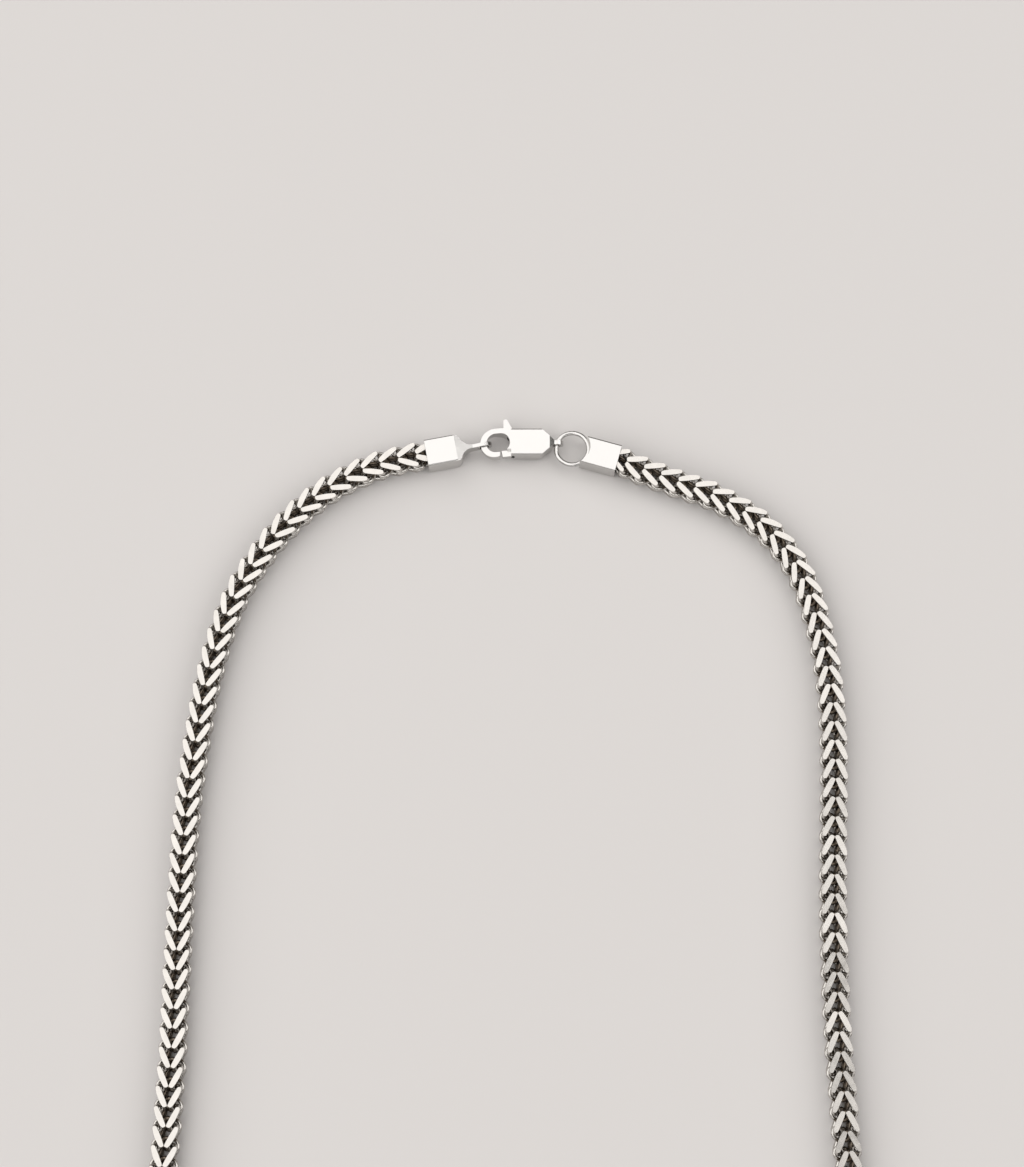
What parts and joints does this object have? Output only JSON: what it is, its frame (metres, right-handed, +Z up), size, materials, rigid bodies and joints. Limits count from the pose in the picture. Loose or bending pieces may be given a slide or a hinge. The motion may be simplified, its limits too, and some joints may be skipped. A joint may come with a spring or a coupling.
{
  "type": "franco chain necklace",
  "caption": "Square franco chain necklace in polished steel, closed by a lobster clasp that hooks the eye of one end cap and hangs on a ring soldered to the other.",
  "frame": {"origin": "on the surface that the necklace lies on, below the centre of the box that it fills", "axes": "+X to the right along the clasp, +Y from the bottom of the loop to the clasp, away from the viewer, +Z up"},
  "size_m": [0.1148, 0.1924, 0.0048],
  "materials": {
    "chain": "polished steel with bright diamond-cut faces",
    "end_caps": "mirror-polished steel",
    "clasp": "mirror-polished steel"
  },
  "bodies": {
    "necklace": {"chain_left": "chain", "chain_right": "chain", "end_cap_left": "end_caps", "end_cap_right": "end_caps", "clasp_body": "clasp"},
    "lever": {"clasp_lever": "clasp"}
  },
  "joints": [
    {"name": "lever_pivot", "type": "hinge", "parent": "necklace", "child": "lever", "pos_m": [0.00167, 0.09087, 0.0024], "axis": [0, 0, -1], "range_deg": [0, 20], "stiffness_Nm_per_rad": 0.004, "springref_deg": -17.19}
  ]
}
